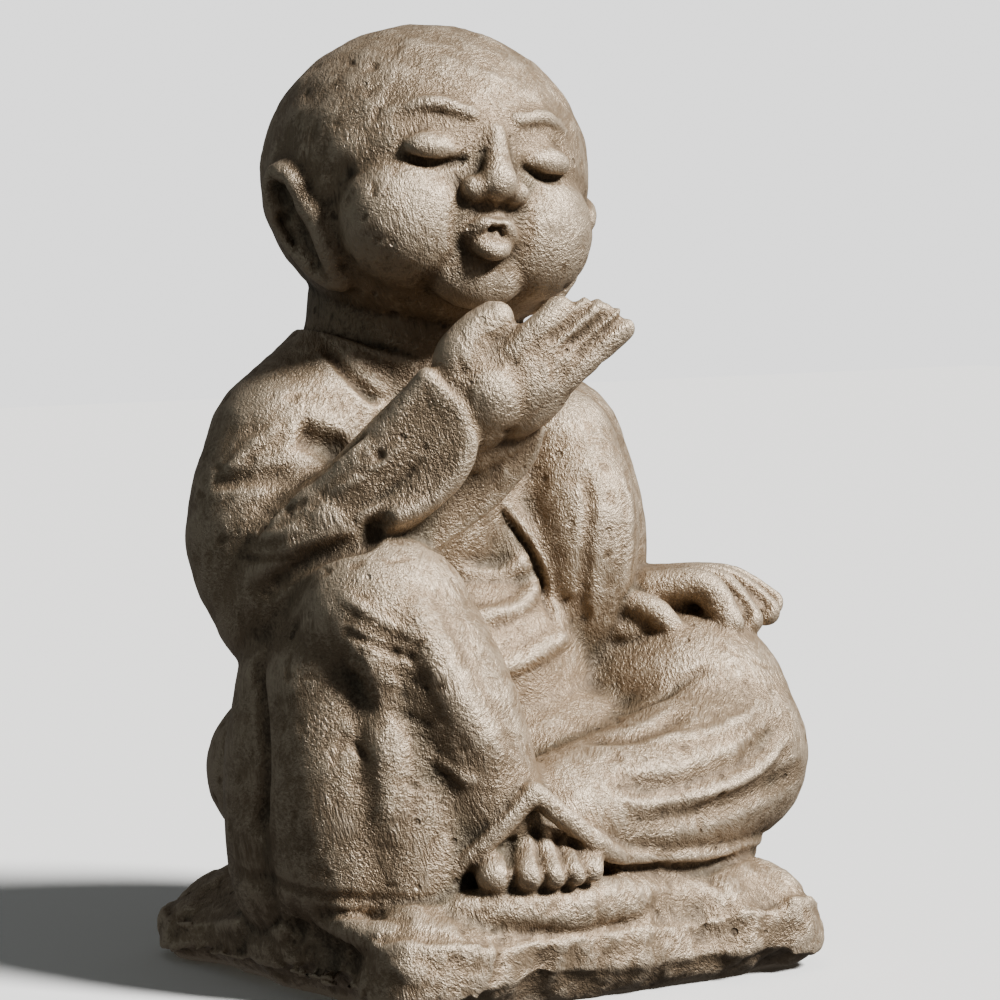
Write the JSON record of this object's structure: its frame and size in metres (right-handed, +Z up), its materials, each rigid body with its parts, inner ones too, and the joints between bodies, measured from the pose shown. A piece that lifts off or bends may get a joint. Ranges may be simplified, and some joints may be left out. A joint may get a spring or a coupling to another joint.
{
  "type": "garden statue",
  "caption": "Cast stone garden statue of a seated child monk with a hand raised to the lips, on a rough rock base.",
  "frame": {"origin": "middle of the outline's box, on the ground that the underside rests on", "axes": "+Z up, -Y to the figure's front, +X to the figure's left"},
  "size_m": [0.3156, 0.2728, 0.4868],
  "materials": {
    "bronze_toned_stone": "rough brushed cast stone with a satin bronze tone"
  },
  "bodies": {
    "root": {"monk_statue": "bronze_toned_stone"}
  },
  "joints": []
}
